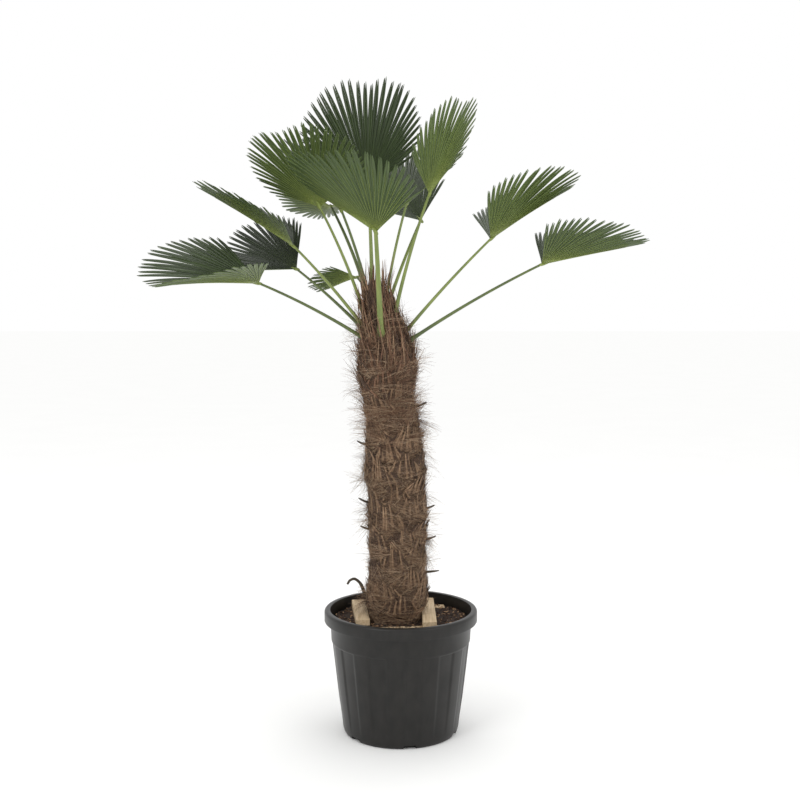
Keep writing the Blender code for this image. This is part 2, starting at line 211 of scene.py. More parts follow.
@dataclass(frozen=True)
class Finish:
    """How a surface looks: a mottle between two colours that also gives its relief."""
    low: str
    high: str
    roughness: float
    grain_mm: float
    stretch: Triple = (1.0, 1.0, 1.0)
    guide: Guide = Guide.PIECE
    bump: float = 0.2
    bump_depth: float = 0.0005
    detail: float = 4.0
    specular: float = 0.5
    low_at: float = 0.32
    high_at: float = 0.68

    def make(self, name: str) -> bpy.types.Material:
        """Build the material.

        Args:
            name: The material's name.

        Returns:
            The new material.
        """
        material = bpy.data.materials.new(name)
        material.use_nodes = True
        tree = material.node_tree
        place = add_node(tree, "ShaderNodeTexCoord", {}, {})
        mapping = add_node(
            tree, "ShaderNodeMapping", {"Scale": self.stretch}, {"Vector": place.outputs[self.guide.value]})
        pattern = add_node(
            tree,
            "ShaderNodeTexNoise",
            {"Scale": MM_PER_METRE / self.grain_mm, "Detail": self.detail},
            {"Vector": mapping.outputs["Vector"]},
        )
        ramp = add_node(tree, "ShaderNodeValToRGB", {}, {"Fac": pattern.outputs["Fac"]})
        stops = ((self.low_at, self.low), (self.high_at, self.high))
        for stop, (position, colour) in zip(ramp.color_ramp.elements, stops):
            stop.position = position
            stop.color = srgb(colour)
        relief = add_node(
            tree,
            "ShaderNodeBump",
            {"Strength": self.bump, "Distance": self.bump_depth},
            {"Height": pattern.outputs["Fac"]},
        )
        shader = tree.nodes["Principled BSDF"]
        shader.inputs["Roughness"].default_value = self.roughness
        shader.inputs["Specular IOR Level"].default_value = self.specular
        tree.links.new(ramp.outputs["Color"], shader.inputs["Base Color"])
        tree.links.new(relief.outputs["Normal"], shader.inputs["Normal"])
        return material


@dataclass(frozen=True)
class LeafFinish(Finish):
    """Living leaf: long veins, coarser than the real ones so that they show."""
    grain_mm: float = 4.1667
    stretch: Triple = (1.0, 0.03, 1.0)
    guide: Guide = Guide.SURFACE
    bump: float = 0.35
    bump_depth: float = 0.0004


@dataclass(frozen=True)
class StalkFinish(Finish):
    """Living stalk: smooth skin with faint long streaks."""
    grain_mm: float = 11.111
    stretch: Triple = (1.0, 0.12, 1.0)
    guide: Guide = Guide.SURFACE


@dataclass(frozen=True)
class FibreFinish(Finish):
    """Dry sheath fibre: dull, with a tone that changes along a strand."""
    grain_mm: float = 8.3333


FINISHES: dict[Stuff, Finish] = {
    # Waxy cuticle, which gives the upper side a soft sheen
    Stuff.LEAF_UPPER: LeafFinish("#222e15", "#3d4d27", 0.42),
    # A darker copy of the upper side for the fans deep in the crown: painted shade
    Stuff.LEAF_UPPER_PAINTED_SHADE: LeafFinish("#18220f", "#2b381b", 0.45),
    # Bloom on the underside, which looks paler and duller
    Stuff.LEAF_UNDER: LeafFinish("#34451f", "#526434", 0.50, bump=0.30),
    # A paler copy of the underside for the fans that catch more light: painted light
    Stuff.LEAF_UNDER_PAINTED_LIGHT: LeafFinish("#3f5024", "#61733a", 0.50, bump=0.30),
    # Hard yellow-green ribs, brighter than the blade
    Stuff.LEAF_RIB: Finish("#6d7d38", "#87934a", 0.45, 5.0),
    # Smooth green skin with a soft highlight
    Stuff.STALK: StalkFinish("#66753a", "#84914c", 0.38),
    # A darker copy of the stalk for stalks at the back and inside of the crown: painted shade
    Stuff.STALK_DEEP: StalkFinish("#47552c", "#606e38", 0.40),
    # Dull dark ground between the fibres, with upright clefts
    Stuff.BARK: Finish("#33241a", "#5c4636", 0.95, 7.1429, (1.0, 1.0, 0.35), bump=0.9, bump_depth=0.004),
    # Woven leaf sheath, weathered grey-brown below and fresher near the crown
    Stuff.FIBRE_DARK: FibreFinish("#3a291e", "#554031", 0.90),
    Stuff.FIBRE_MID: FibreFinish("#705743", "#a38568", 0.90),
    Stuff.FIBRE_RED: FibreFinish("#684a38", "#8c6a52", 0.88),
    Stuff.FIBRE_PALE: FibreFinish("#a88c70", "#ccb396", 0.88),
    # Dried stalk, dark brown and dull
    Stuff.OLD_STALK: Finish("#2e261c", "#54483a", 0.80, 6.25, (1.0, 1.0, 0.4)),
    # Moulded polyethylene, which has a broad satin highlight
    Stuff.POT: Finish(
        "#151412", "#1f1d1b", 0.38, 28.571, (1.0, 1.0, 0.5), bump=0.08, bump_depth=0.0006, specular=0.35),
    # Damp peat, which hardly shines
    Stuff.PEAT: Finish("#170f0a", "#3c2a1e", 0.98, 4.5455, bump=1.0, bump_depth=0.004),
    # Composted bark, dark where damp and pale where it has dried
    Stuff.CHIP: Finish("#2c1c12", "#5a3c28", 0.90, 6.25),
    Stuff.CHIP_PALE: Finish("#8a6a48", "#b09070", 0.90, 6.25),
    # Rough-sawn pine, its grain drawn out along the two long battens
    Stuff.PINE: Finish("#b39a78", "#d2bd9c", 0.75, 35.714, (6.0, 0.35, 6.0), bump=0.25, bump_depth=0.0006),
    # Matt white paper
    Stuff.FLOOR: Finish(
        "#fcfcfb", "#fdfdfc", 0.9, 500.0, bump=0.05, bump_depth=0.0002, detail=2.0, specular=0.0),
}


@dataclass
class Palette:
    """Makes each material once."""
    made: dict[Stuff, bpy.types.Material] = field(default_factory=dict)

    def get(self, stuff: Stuff) -> bpy.types.Material:
        """Find the material of a kind of stuff, made at its first use.

        Args:
            stuff: The kind of stuff.

        Returns:
            Its material.
        """
        if stuff not in self.made:
            self.made[stuff] = FINISHES[stuff].make(stuff.value)
        return self.made[stuff]


def tube_sections(centres: Array, radii: Array, outward: Array, sides: int, flat: float = 1.0) -> Array:
    """Lay round or flattened sections along many lines at once.

    Args:
        centres: Points of shape (lines, stations, 3).
        radii: Radii of shape (lines, stations).
        outward: Rough normals, which broadcast to the shape of centres.
        sides: Points in a section.
        flat: Thickness across outward as a share of the width.

    Returns:
        Points of shape (lines, stations, sides, 3).
    """
    tangents = unit(np.gradient(centres, axis=1))
    side = unit(np.cross(tangents, np.broadcast_to(outward, centres.shape)))
    lift = np.cross(side, tangents)
    angles = math.tau * np.arange(sides) / sides
    ring = side[:, :, None] * np.cos(angles)[:, None] + lift[:, :, None] * (flat * np.sin(angles))[:, None]
    return centres[:, :, None] + ring * radii[:, :, None, None]


@dataclass
class Pile:
    """Gathers closed shells into one mesh piece."""
    palette: Palette
    stuffs: Sequence[Stuff]
    points: list[Array] = field(default_factory=list)
    uvs: list[Array] = field(default_factory=list)
    loops: list[Array] = field(default_factory=list)
    sizes: list[Array] = field(default_factory=list)
    marks: list[Array] = field(default_factory=list)
    count: int = 0
    # Sets the veins of neighbouring tubes apart
    uv_shift: float = 0.013

    def gather(self, points: Array, uvs: Array, *faces: tuple[Array, Array]) -> None:
        """Add points and faces.

        Args:
            points: The points, with a last dimension of three.
            uvs: A UV place for each point.
            faces: Pairs of corners, as point numbers from nought with a last
                dimension of one face's corners, and a stuff number a face.
        """
        for corners, marks in faces:
            rows = corners.reshape(-1, corners.shape[-1]) + self.count
            self.loops.append(rows.reshape(-1))
            self.sizes.append(np.full(len(rows), rows.shape[1]))
            self.marks.append(marks.reshape(-1))
        self.points.append(points.reshape(-1, 3))
        self.uvs.append(uvs.reshape(-1, 2))
        self.count += points.size // 3

    def add_tubes(self, sections: Array, stuffs: Stuff | Sequence[Stuff], by_side: bool = False) -> None:
        """Add tubes with closed ends.

        Args:
            sections: Points of shape (tubes, stations, sides, 3).
            stuffs: One kind of stuff, or one for each tube or side.
            by_side: Whether stuffs has one for each side.
        """
        tubes, stations, sides, _ = sections.shape
        index = np.arange(tubes * stations * sides).reshape(tubes, stations, sides)
        after = np.roll(index, -1, axis=2)
        walls = np.stack([index[:, :-1], after[:, :-1], after[:, 1:], index[:, 1:]], -1)
        caps = np.stack([index[:, 0, ::-1], index[:, -1]])
        chosen = [stuffs] if isinstance(stuffs, Stuff) else stuffs
        picks = np.array([self.stuffs.index(stuff) for stuff in chosen])
        wall_marks = np.broadcast_to(picks if by_side else picks[:, None, None], walls.shape[:3])
        cap_marks = np.broadcast_to(picks[0] if by_side else picks, caps.shape[:2])
        steps = np.linalg.norm(np.diff(sections[:, :, 0], axis=1), axis=-1)
        along = np.concatenate([np.zeros((tubes, 1)), np.cumsum(steps, axis=1)], axis=1)
        widths = np.linalg.norm(sections - sections[:, :, :1], axis=-1)
        shift = np.arange(tubes)[:, None, None] * self.uv_shift
        uvs = np.stack([widths + shift, np.broadcast_to(along[:, :, None], widths.shape)], -1)
        self.gather(sections, uvs, (walls, wall_marks), (caps, cap_marks))

    def add_ring(self, outlines: Array, stuff: Stuff) -> None:
        """Add a surface whose closed outlines stand in a closed ring.

        Args:
            outlines: Points of shape (outlines, points in each, 3).
            stuff: Its kind of stuff.
        """
        shape = outlines.shape[:2]
        index = np.arange(shape[0] * shape[1]).reshape(shape)
        beside = np.roll(index, -1, axis=0)
        corners = np.stack([index, beside, np.roll(beside, -1, axis=1), np.roll(index, -1, axis=1)], -1)
        self.gather(outlines, outlines[..., :2], (corners, np.full(shape, self.stuffs.index(stuff))))

    def build(self, name: str, smooth: bool = True) -> bpy.types.Object:
        """Make the object.

        Args:
            name: The piece's name.
            smooth: Whether its faces are shaded smooth.

        Returns:
            The new object.
        """
        mesh = bpy.data.meshes.new(name)
        points = np.concatenate(self.points).astype(np.float32)
        loops = np.concatenate(self.loops).astype(np.int32)
        sizes = np.concatenate(self.sizes)
        starts = np.concatenate([[0], np.cumsum(sizes)[:-1]]).astype(np.int32)
        mesh.vertices.add(len(points))
        mesh.vertices.foreach_set("co", points.ravel())
        mesh.loops.add(len(loops))
        mesh.loops.foreach_set("vertex_index", loops)
        mesh.polygons.add(len(starts))
        mesh.polygons.foreach_set("loop_start", starts)
        mesh.polygons.foreach_set("material_index", np.concatenate(self.marks).astype(np.int32))
        mesh.update(calc_edges=True)
        layer = mesh.uv_layers.new(name="UVMap")
        layer.data.foreach_set("uv", np.concatenate(self.uvs)[loops].astype(np.float32).ravel())
        for stuff in self.stuffs:
            mesh.materials.append(self.palette.get(stuff))
        bm = bmesh.new()
        bm.from_mesh(mesh)
        bmesh.ops.recalc_face_normals(bm, faces=bm.faces)
        bm.to_mesh(mesh)
        bm.free()
        if smooth:
            mesh.shade_smooth()
        return placed(name, mesh)


def placed(name: str, data: bpy.types.ID) -> bpy.types.Object:
    """Make an object and link it to the scene.

    Args:
        name: The object's name.
        data: Its mesh, light or camera.

    Returns:
        The new object.
    """
    item = bpy.data.objects.new(name, data)
    bpy.context.scene.collection.objects.link(item)
    return item


def settle(item: bpy.types.Object, slot: str, *nodes: str) -> None:
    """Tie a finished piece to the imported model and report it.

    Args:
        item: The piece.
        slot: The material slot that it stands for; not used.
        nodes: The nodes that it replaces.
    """
    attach(item, BODY)
    if nodes:
        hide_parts(*nodes)
    LOG.info("%s: %d faces", item.name, len(item.data.polygons))


@dataclass(frozen=True)
class TrunkLine:
    """The leaning line of the trunk, with its swellings and its crown cone.

    A ring holds a height, the radius there and how far its middle is from the
    pot's axis along X.
    """
    rings: tuple[Triple, ...] = (
        (0.3753, 0.0830, -0.019),
        (0.4030, 0.0830, -0.019),
        (0.4150, 0.0910, -0.016),
        (0.4480, 0.0960, -0.014),
        (0.4920, 0.0930, -0.010),
        (0.5600, 0.0860, -0.012),
        (0.6000, 0.0860, -0.012),
        (0.6500, 0.0905, -0.011),
        (0.7000, 0.0880, -0.010),
        (0.7400, 0.0920, -0.010),
        (0.8050, 0.0860, -0.015),
        (0.8700, 0.0950, -0.017),
        (0.9100, 0.0900, -0.020),
        (0.9600, 0.0870, -0.023),
        (1.0000, 0.0820, -0.024),
        (1.0450, 0.0780, -0.029),
        (1.0860, 0.0750, -0.035),
        (1.1300, 0.0800, -0.042),
        (1.1650, 0.0845, -0.045),
        (1.2050, 0.0900, -0.044),
        (1.2620, 0.0820, -0.047),
        (1.3100, 0.0690, -0.052),
        (1.3600, 0.0560, -0.061),
        (1.4200, 0.0400, -0.073),
        (1.4600, 0.0260, -0.080),
        (1.4900, 0.0090, -0.086),
    )
    # Above this height loose fibre follows the trunk as it is here
    last_full: float = 1.47

    def radius(self, heights: Array) -> Array:
        """Return the trunk's radius at heights."""
        return np.interp(heights, [ring[0] for ring in self.rings], [ring[1] for ring in self.rings])

    def across(self, heights: Array) -> Array:
        """Return the sideways place of the trunk's middle at heights."""
        return np.interp(heights, [ring[0] for ring in self.rings], [ring[2] for ring in self.rings])

    def at(self, angles: Array | float, heights: Array, stand_off: Array | float) -> Array:
        """Find points round the trunk.

        Args:
            angles: Angles in radians, seen from above.
            heights: Heights.
            stand_off: Distances from the surface.

        Returns:
            The points, in a last dimension of three.
        """
        reach = self.radius(heights) + stand_off
        return np.stack([self.across(heights) + reach * np.cos(angles), reach * np.sin(angles), heights], -1)


LINE = TrunkLine()


@dataclass(frozen=True)
class Petiole:
    """A leaf stalk that arcs up and out from the trunk in one upright plane."""
    azimuth: float
    foot_height: float
    length: float
    rise_foot: float
    rise_hub: float
    foot_radius: float = 0.0080
    hub_radius: float = 0.0045
    stuff: Stuff = Stuff.STALK
    steps: int = 24
    clearance: float = 0.0006
    sides: int = 12
    flat: float = 0.8
    # How the foot widens and runs down into the fibre
    foot_step: float = 0.030
    foot_sink: float = 0.010
    foot_curve: float = 1.5
    foot_flare: float = 0.8
    flare_points: float = 2.2
    # The line's points count from this share, so that the taper starts at the foot
    taper_start: float = -0.08
    taper_power: float = 0.7
    # The last step is made longer by this share, so that it enters the hub
    hub_entry: float = 0.3

    def path(self) -> Array:
        """Walk from the foot to the hub.

        Returns:
            Points of shape (steps + 1, 3).
        """
        out = heading(self.azimuth)
        stand_off = self.foot_radius * math.sin(math.radians(self.rise_foot)) + self.clearance
        place = LINE.at(math.radians(self.azimuth), np.array(self.foot_height), stand_off)
        points = [place]
        for index in range(self.steps):
            share = (index + 0.5) / self.steps
            rise = math.radians(self.rise_foot + (self.rise_hub - self.rise_foot) * share)
            place = place + (out * math.cos(rise) + UP * math.sin(rise)) * self.length / self.steps
            points.append(place)
        return np.array(points)

    def add_to(self, pile: Pile) -> None:
        """Add the stalk, with its widened foot, to a pile.

        Args:
            pile: The pile that the stalk joins.
        """
        path = self.path()
        out = heading(self.azimuth)
        start = path[1] - path[0]
        start = start / np.linalg.norm(start)
        feet = [
            path[0] - start * self.foot_step * step - out * self.foot_sink * step ** self.foot_curve
            for step in (2.0, 1.0)
        ]
        end = path[-1] - path[-2]
        line = np.concatenate([np.array(feet), path, [path[-1] + end * self.hub_entry]])
        shares = np.clip(np.linspace(self.taper_start, 1.0, len(line)), 0, 1)
        radii = self.foot_radius + (self.hub_radius - self.foot_radius) * shares ** self.taper_power
        flare = np.exp(-(np.arange(len(line)) / self.flare_points) ** 2)
        radii = radii * (1.0 + self.foot_flare * flare)
        upper = np.cross(np.cross(UP, out), start)
        pile.add_tubes(tube_sections(line[None], radii[None], upper, self.sides, self.flat), self.stuff)


@dataclass(frozen=True)
class Blade:
    """The form of a pleated fan, which is folded at its middle and cupped."""
    aim: float
    tilt: float
    roll: float
    radius: float
    spread: float = 75
    fold: float = 10
    cup: float = 25
    droop: float = 6
    lean: float = 0
    notch: float = 0.08
    segment_pitch: float = 4.2
    least_segments: int = 4
    basal_length: float = 0.62
    length_power: float = 2.2
    fold_width: float = 14.0
    notch_width: float = 9.0
    turn_step: float = 0.5

    def frame(self) -> tuple[Array, Array, Array]:
        """Find how the fan stands.

        Returns:
            The middle rib's direction, the side direction and the upper normal.
        """
        tilt = math.radians(self.tilt)
        out = heading(self.aim)
        rib = out * math.cos(tilt) + UP * math.sin(tilt)
        normal = turned(-out * math.sin(tilt) + UP * math.cos(tilt), rib, self.roll)
        side = np.cross(normal, rib)
        return turned(rib, normal, self.lean), turned(side, normal, self.lean), normal

    def rays(self, sign: float, angles: Sequence[float]) -> list[tuple[Array, Array]]:
        """Walk from the middle rib to one margin, over the fold and the cup.

        Args:
            sign: 1 for the side direction's half, -1 for the other.
            angles: Rising angles from the middle rib.

        Returns:
            The direction and the upper normal at each angle.
        """
        ray, side, normal = self.frame()
        side = side * sign
        frames = []
        reached = 0.0
        for angle in angles:
            steps = max(1, int(round((angle - reached) / self.turn_step)))
            for index in range(steps):
                step = (angle - reached) / steps
                middle = reached + (index + 0.5) * step
                peak = self.fold * math.exp(-(middle / self.fold_width) ** 2)
                crease = peak / (self.fold_width * math.sqrt(math.pi) / 2)
                bend = math.radians((crease + self.cup / self.spread) * step)
                ray, side = swung(ray, side, math.radians(step))
                side, normal = swung(side, normal, bend)
            reached = angle
            frames.append((ray, normal))
        return frames

    def segments(self) -> tuple[float, list[tuple[float, Array, Array]]]:
        """Divide the fan into segments.

        Returns:
            The angle between segments, and the angle, direction and normal of
            each segment's rib, from margin to margin.
        """
        half = max(self.least_segments, int(round(self.spread / self.segment_pitch)))
        pitch = self.spread / half
        angles = [pitch * (index + 0.5) for index in range(half)]
        right = [(-angle, *frame) for angle, frame in zip(angles, self.rays(-1.0, angles))]
        left = [(angle, *frame) for angle, frame in zip(angles, self.rays(1.0, angles))]
        return pitch, right[::-1] + left

    def length_at(self, angle: float) -> float:
        """Find a segment's length.

        Args:
            angle: The segment's angle from the middle rib.

        Returns:
            The length from the hub.
        """
        share = min(1.0, abs(angle) / self.spread)
        body = 1.0 - (1.0 - self.basal_length) * share ** self.length_power
        return self.radius * body * (1.0 - self.notch * math.exp(-(angle / self.notch_width) ** 2))


@dataclass(frozen=True)
class Frond:
    """A stalk with its fan, and the tone of the fan's two sides; the darker copies carry painted shade and
    the paler copy painted light.
    """
    petiole: Petiole
    blade: Blade
    upper: Stuff = Stuff.LEAF_UPPER
    under: Stuff = Stuff.LEAF_UNDER


# Fronds deep in the crown take the darker copies of the upper side and the stalk as painted shade, and fans
# that catch more light take the paler underside as painted light
FRONDS = {
    "top": Frond(
        Petiole(113, 1.460, 0.335, 88, 80),
        Blade(74, 97, -3, 0.364, spread=66, fold=9, cup=33, droop=3, lean=-2),
    ),
    "front": Frond(
        Petiole(-97, 1.325, 0.330, 74, 68, foot_radius=0.0105, hub_radius=0.0060),
        Blade(-123, 41, -4, 0.385, spread=63, fold=6, cup=24, droop=11, lean=-2),
    ),
    "left_upper": Frond(
        Petiole(174, 1.395, 0.361, 72, 62),
        Blade(-136, 51, 18, 0.322, spread=73, fold=11, cup=12, droop=11, lean=6),
        under=Stuff.LEAF_UNDER_PAINTED_LIGHT,
    ),
    "left_flat": Frond(
        Petiole(-170, 1.345, 0.335, 53, 45),
        Blade(180, 34, 0, 0.385, fold=6, cup=16, droop=5),
        upper=Stuff.LEAF_UPPER_PAINTED_SHADE,
    ),
    "left_middle": Frond(
        Petiole(161, 1.330, 0.310, 44, 36, stuff=Stuff.STALK_DEEP),
        Blade(157, 20, -30, 0.302, spread=72, fold=16, cup=17, droop=4, lean=7),
        upper=Stuff.LEAF_UPPER_PAINTED_SHADE,
    ),
    "left_low": Frond(
        Petiole(-159, 1.305, 0.386, 32, 22, stuff=Stuff.STALK_DEEP),
        Blade(-150, 3, -12, 0.385, spread=76, fold=18, cup=22, droop=12),
        under=Stuff.LEAF_UNDER_PAINTED_LIGHT,
    ),
    "left_small": Frond(
        Petiole(112, 1.400, 0.197, 46, 18, foot_radius=0.0060, stuff=Stuff.STALK_DEEP),
        Blade(165, -14, 14, 0.175, spread=58, droop=8),
        upper=Stuff.LEAF_UPPER_PAINTED_SHADE,
    ),
    "back_left": Frond(
        Petiole(127, 1.415, 0.400, 63.5, 47.5, stuff=Stuff.STALK_DEEP),
        Blade(110, -5, 6, 0.290, spread=66, fold=20, cup=22, droop=3),
        upper=Stuff.LEAF_UPPER_PAINTED_SHADE,
    ),
    "left_inner": Frond(
        Petiole(142, 1.450, 0.293, 72.5, 62.5, foot_radius=0.0070, stuff=Stuff.STALK_DEEP),
        Blade(125, 55, 0, 0.335, spread=66, cup=20, droop=8),
        upper=Stuff.LEAF_UPPER_PAINTED_SHADE,
    ),
    "back": Frond(
        Petiole(32, 1.445, 0.307, 79.5, 71.5, foot_radius=0.0060),
        Blade(62, 46, 0, 0.300, spread=60, fold=15, cup=20, droop=8),
    ),
    "right_inner": Frond(
        Petiole(62, 1.400, 0.384, 55, 47, foot_radius=0.0070),
        Blade(115, 50, 0, 0.320, spread=68, fold=8, cup=20, droop=8, lean=27),
    ),
    "right_upper": Frond(
        Petiole(-27.5, 1.390, 0.389, 76, 68),
        Blade(-28, 67, 0, 0.338, spread=54, fold=5, cup=10, droop=9, lean=-5),
        under=Stuff.LEAF_UNDER_PAINTED_LIGHT,
    ),
    "right_middle": Frond(
        Petiole(8, 1.325, 0.410, 50, 44),
        Blade(2, 36, -5, 0.364, spread=82, fold=15, cup=35, droop=10, lean=6, notch=0.12),
        under=Stuff.LEAF_UNDER_PAINTED_LIGHT,
    ),
    "right_low": Frond(
        Petiole(0, 1.295, 0.495, 34, 26, stuff=Stuff.STALK_DEEP),
        Blade(0, 13, -2, 0.352, spread=88, fold=12, cup=34, droop=4, notch=0.0),
    ),
}


@dataclass(frozen=True)
class Fan:
    """The fine leaf of a fan: two-pronged segments, each folded at a rib."""
    frond: Frond
    hub: Array
    rng: np.random.Generator
    # Shares of a segment's length, and of its width there
    outline: tuple[tuple[float, float], ...] = (
        (0.015, 1.00), (0.12, 1.00), (0.25, 1.00), (0.38, 1.00), (0.50, 1.00), (0.60, 1.00), (0.66, 1.00),
        (0.74, 0.99), (0.81, 0.95), (0.87, 0.88), (0.93, 0.72), (0.97, 0.46), (1.00, 0.10),
    )
    # Segments part here, as a share of their length
    cut: float = 0.66
    pleat: float = 0.20
    thickness: float = 0.0009
    shortest: float = 0.965
    droop_spread: float = 1.5
    bend_spread: float = 0.010
    prong_from: float = 0.93
    prong_gap: float = 0.0018
    prong_rib_share: float = 0.8
    prong_trim: float = 0.012
    prong_trim_from: float = 0.98
    seam: float = 0.00015
    rib_stations: int = 9
    rib_gap: float = 0.0002
    rib_radii: tuple[float, float] = (0.0011, 0.0004)
    rib_sides: int = 4
    hub_span: tuple[float, float] = (-0.012, 0.022)
    hub_drop: float = 0.0012
    hub_radii: tuple[float, ...] = (0.004, 0.0062, 0.0072, 0.0066, 0.005, 0.0034, 0.0012)
    hub_sides: int = 10
    hub_flat: float = 0.7

    def middle_line(self, length: float, ray: Array, side: Array, normal: Array) -> Array:
        """Lay a segment's middle, which droops and sways a little.

        Args:
            length: The segment's length.
            ray: Its direction.
            side: The direction across it.
            normal: Its upper normal.

        Returns:
            A point at each share of the outline.
        """
        shares = np.array([share for share, _ in self.outline])
        droop = math.radians(self.frond.blade.droop + self.rng.normal(0, self.droop_spread))
        drop = droop * shares ** 2 / 3
        bend = self.rng.normal(0, self.bend_spread) * shares ** 3
        way = ray * np.cos(drop)[:, None] - normal * np.sin(drop)[:, None] + side * bend[:, None]
        return self.hub + (shares * length)[:, None] * way

    def wing(self, line: Array, rib: Array, half: Array, side: Array, normal: Array, sign: float) -> Array:
        """Build one half of a segment, from its rib to its edge.

        Args:
            line: The segment's middle at the height of its edges.
            rib: The line of the rib below it.
            half: Half the segment's width at each point.
            side: The direction across the segment.
            normal: Its upper normal.
            sign: 1 for the half on the side direction, -1 for the other.

        Returns:
            Sections of shape (stations, 4, 3).
        """
        shares = np.array([share for share, _ in self.outline])
        opening = np.clip((shares - self.prong_from) / (1 - self.prong_from), 0, 1)
        prong = self.prong_gap * opening * sign
        trim = 1.0 - self.prong_trim * (sign > 0) * (shares > self.prong_trim_from)
        edge = self.hub + (line - self.hub) * trim[:, None] + side * (half * sign + prong)[:, None]
        gap = prong * self.prong_rib_share + self.seam * sign
        inner = self.hub + (rib - self.hub) * trim[:, None] + side * gap[:, None]
        low = normal * self.thickness
        return np.stack([edge, inner, inner - low, edge - low], 1)

    def add_to(self, pile: Pile) -> None:
        """Add the fan's wings, ribs and hub to a pile.

        Args:
            pile: The pile that the fan joins.
        """
        frond = self.frond
        pitch, segments = frond.blade.segments()
        shares, widths = np.array(self.outline).T
        wings, ribs = [], []
        for angle, ray, normal in segments:
            length = frond.blade.length_at(angle) * self.rng.uniform(self.shortest, 1.0)
            side = np.cross(normal, ray)
            line = self.middle_line(length, ray, side, normal)
            half = math.tan(math.radians(pitch / 2)) * np.minimum(shares * length, self.cut * length) * widths
            rib = line - normal * (self.pleat * 2 * half)[:, None]
            wings += [self.wing(line, rib, half, side, normal, sign) for sign in (-1.0, 1.0)]
            ribs.append(rib[:self.rib_stations] - normal * (self.thickness + self.rib_gap))
        # An upper face, the rim at the rib, a lower face and the rim at the edge
        faces = (frond.upper, frond.upper, frond.under, frond.under)
        pile.add_tubes(np.array(wings), faces, by_side=True)
        taper = np.linspace(*self.rib_radii, self.rib_stations)
        radii = np.broadcast_to(taper, (len(ribs), self.rib_stations))
        ray, _, normal = frond.blade.frame()
        pile.add_tubes(tube_sections(np.array(ribs), radii, normal, self.rib_sides), Stuff.LEAF_RIB)
        stations = np.linspace(*self.hub_span, len(self.hub_radii))
        line = self.hub + ray * stations[:, None] - normal * self.hub_drop
        bulge = tube_sections(line[None], np.array([self.hub_radii]), normal, self.hub_sides, self.hub_flat)
        pile.add_tubes(bulge, Stuff.LEAF_RIB)


@dataclass
class Crown:
    """All fronds: stalks and fans."""
    palette: Palette
    rng: np.random.Generator

    def make(self) -> None:
        """Build a piece for each fan and one for the stalks."""
        stalks = Pile(self.palette, (Stuff.STALK, Stuff.STALK_DEEP))
        for name, frond in FRONDS.items():
            frond.petiole.add_to(stalks)
            pile = Pile(self.palette, (frond.upper, frond.under, Stuff.LEAF_RIB))
            Fan(frond, frond.petiole.path()[-1], self.rng).add_to(pile)
            settle(pile.build(f"leaf_{name}", smooth=False), "leaf", f"fan_{name}")
        settle(stalks.build("leaf_stalks"), "petiole", *[f"petiole_{name}" for name in FRONDS])


BROWNS = (Stuff.FIBRE_DARK, Stuff.FIBRE_MID, Stuff.FIBRE_MID, Stuff.FIBRE_PALE)
REDS = (Stuff.FIBRE_RED, Stuff.FIBRE_RED, Stuff.FIBRE_MID, Stuff.FIBRE_PALE, Stuff.FIBRE_DARK)


@dataclass(frozen=True)
class Fibre:
    """One kind of loose fibre round the trunk, in one stretch of its height.

    Pairs are the least and the most, but climb is the middle and the spread of
    how steeply a strand rises, as a share of its length. With tufts at 0 each
    strand stands by itself.
    """
    name: str
    count: int
    roots: tuple[float, float]
    length: tuple[float, float]
    stand: tuple[float, float]
    radius: float
    climb: tuple[float, float]
    mix: tuple[Stuff, ...]
    tufts: int = 0
    stations: int = 7
    sides: int = 3
    tuft_turn: float = 0.11
    tuft_rise: float = 0.006
    tuft_climb: float = 0.22
    tuft_stand: tuple[float, float] = (0.4, 1.2)
    lowest: float = SOIL_TOP + 0.006
    highest: float = 1.56
    least_trunk: float = 0.02
    sway: float = 0.05
    curl: tuple[float, float] = (1.1, 2.2)
    sag: float = -0.45
    sag_spread: tuple[float, float] = (-0.3, 1.4)
    wave: float = 0.0016
    wave_turns: tuple[float, float] = (4, 12)
    wave_start: tuple[float, float] = (0, 6)
    skin_gap: float = 0.0015
    radius_spread: tuple[float, float] = (0.6, 1.3)
    taper: float = 0.8

    def sections(self, rng: np.random.Generator) -> Array:
        """Draw the strands.

        Args:
            rng: The source of chance.

        Returns:
            Points of shape (count, stations, sides, 3).
        """
        each = (self.count, 1)
        share = np.linspace(0, 1, self.stations)[None]
        # Each strand is drawn by itself first, and then takes after its tuft
        turn = rng.uniform(0, math.tau, each)
        root = rng.uniform(*self.roots, each)
        size = rng.uniform(*self.length, each)
        climb = np.clip(rng.normal(*self.climb, each), -1, 1)
        way = rng.choice([-1.0, 1.0], each)
        stand = rng.uniform(*self.stand, each)
        if self.tufts:
            tuft = (self.tufts, 1)
            pick = rng.integers(0, self.tufts, self.count)
            turn = rng.uniform(0, math.tau, tuft)[pick] + rng.normal(0, self.tuft_turn, each)
            root = rng.uniform(*self.roots, tuft)[pick] + rng.normal(0, self.tuft_rise, each)
            climb = rng.normal(*self.climb, tuft)[pick] + rng.normal(0, self.tuft_climb, each)
            climb = np.clip(climb, -1, 1)
            way = rng.choice([-1.0, 1.0], tuft)[pick]
            stand = rng.uniform(*self.stand, tuft)[pick] * rng.uniform(*self.tuft_stand, each)
        around = np.sqrt(1 - climb ** 2) * way
        heights = np.clip(root + size * climb * share, self.lowest, self.highest)
        base = np.minimum(heights, LINE.last_full)
        trunk = np.maximum(LINE.radius(base), self.least_trunk)
        angles = turn + size * around * share / trunk + rng.normal(0, self.sway, each) * share ** 2
        out = stand * share ** rng.uniform(*self.curl, each)
        sag = self.sag * out * share * rng.uniform(*self.sag_spread, each)
        phase = share * rng.uniform(*self.wave_turns, each) + rng.uniform(*self.wave_start, each)
        points = LINE.at(angles, base, self.skin_gap + out + self.wave * np.sin(phase))
        points[..., 2] = heights + sag
        radii = self.radius * rng.uniform(*self.radius_spread, each) * (1.0 - self.taper * share)
        return tube_sections(points, radii, level(angles), self.sides)


